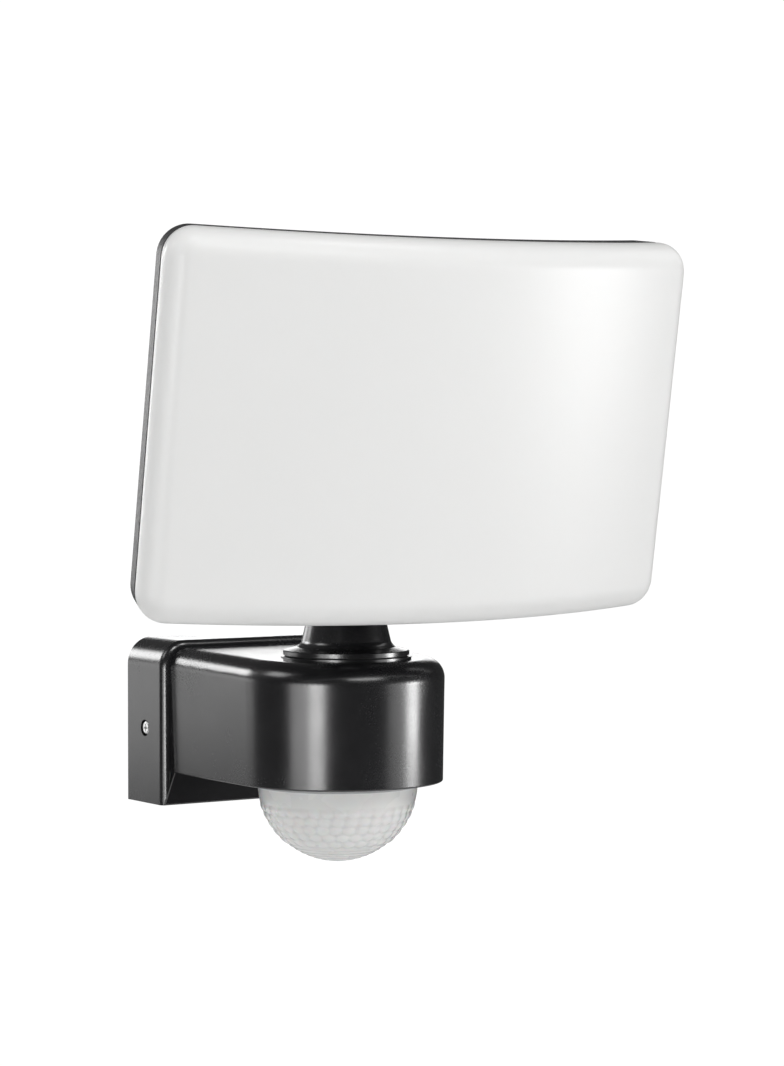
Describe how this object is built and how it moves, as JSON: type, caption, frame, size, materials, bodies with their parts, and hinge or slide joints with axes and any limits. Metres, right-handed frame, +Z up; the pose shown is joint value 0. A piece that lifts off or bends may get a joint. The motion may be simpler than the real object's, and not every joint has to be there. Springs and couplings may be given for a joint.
{
  "type": "wall floodlight with motion sensor",
  "caption": "Outdoor wall floodlight with a wide curved opal lamp head on a swivel neck, a black wall box with a round-ended arm, and a motion sensor dome underneath.",
  "frame": {"origin": "centre of the wall plate's four screw slots, on the face that lies against the wall", "axes": "+Y points into the wall, so the light reaches out towards -Y; +Z up; +X to the right seen from the front"},
  "size_m": [0.229, 0.1814, 0.2416],
  "materials": {
    "black_satin_paint": "satin powder coat on die-cast aluminium",
    "black_texture_paint": "fine textured powder coat on die-cast aluminium",
    "opal_diffuser": "opal polycarbonate, satin gloss",
    "lens_white": "translucent moulded polyethylene",
    "grey_plastic": "moulded, satin",
    "black_plastic": "moulded, fine grain",
    "black_rubber": "matt moulded rubber",
    "zinc_steel": "zinc plated, rolled",
    "bright_screw": "nickel plated, turned",
    "white_plastic": "moulded",
    "brass": "plain",
    "board_green": "solder mask",
    "board_white": "white solder mask on aluminium",
    "sheet_aluminium": "rolled sheet",
    "chip_yellow": "phosphor in a white frame",
    "component_black": "moulded",
    "component_blue": "sleeved",
    "core_steel": "varnished laminations",
    "sensor_can": "drawn metal can",
    "lead_black": "rubber sheath"
  },
  "bodies": {
    "wall_body": {"arm_housing": "black_satin_paint", "wall_plate": "zinc_steel", "wall_gasket": "black_rubber", "cable_grommet": "black_rubber", "terminal_block": "white_plastic", "terminal_clamps": "brass", "terminal_screws": "bright_screw", "earth_screw": "bright_screw", "side_screws": "bright_screw", "sensor_cover": "black_plastic", "cover_screws": "bright_screw", "pir_lens": "lens_white", "lens_ring": "grey_plastic", "pyro_holder": "black_plastic", "pyro_sensors": "sensor_can", "sensor_board": "board_green", "light_sensor": "component_black", "adjuster_pots": "component_blue", "adjuster_board": "board_green", "adjuster_screws": "bright_screw", "control_board": "board_green", "board_screws": "bright_screw", "transformer": "core_steel", "relay": "component_black", "capacitors": "component_blue", "friction_washer": "zinc_steel", "neck_seal": "black_rubber"},
    "neck": {"neck": "black_satin_paint", "neck_lead": "lead_black", "neck_nut": "zinc_steel"},
    "lamp_head": {"rear_housing": "black_texture_paint", "diffuser": "opal_diffuser", "diffuser_seal": "black_rubber", "housing_screws": "bright_screw", "led_plate": "sheet_aluminium", "plate_screws": "bright_screw", "led_strips": "board_white", "led_chips": "chip_yellow", "led_driver": "white_plastic", "lead_gland": "black_rubber", "head_lead": "lead_black", "tilt_bolt": "bright_screw", "tilt_nut": "bright_screw", "tilt_washers": "zinc_steel"},
    "time_knob": {"time_knob": "grey_plastic"},
    "lux_knob": {"lux_knob": "grey_plastic"},
    "sensitivity_knob": {"sensitivity_knob": "grey_plastic"}
  },
  "joints": [
    {"name": "pan", "type": "hinge", "parent": "wall_body", "child": "neck", "pos_m": [0, -0.0939, 0.0297], "axis": [0, 0, 1], "range_deg": [-60, 60]},
    {"name": "tilt", "type": "hinge", "parent": "neck", "child": "lamp_head", "pos_m": [0, -0.0939, 0.092], "axis": [-1, 0, 0], "range_deg": [-12, 45]},
    {"name": "time_turn", "type": "hinge", "parent": "wall_body", "child": "time_knob", "pos_m": [-0.016, -0.043, -0.0187], "axis": [0, 0, -1], "range_deg": [-135, 135]},
    {"name": "lux_turn", "type": "hinge", "parent": "wall_body", "child": "lux_knob", "pos_m": [0, -0.043, -0.0187], "axis": [0, 0, -1], "range_deg": [-135, 135]},
    {"name": "sensitivity_turn", "type": "hinge", "parent": "wall_body", "child": "sensitivity_knob", "pos_m": [0.016, -0.043, -0.0187], "axis": [0, 0, -1], "range_deg": [-135, 135]}
  ]
}
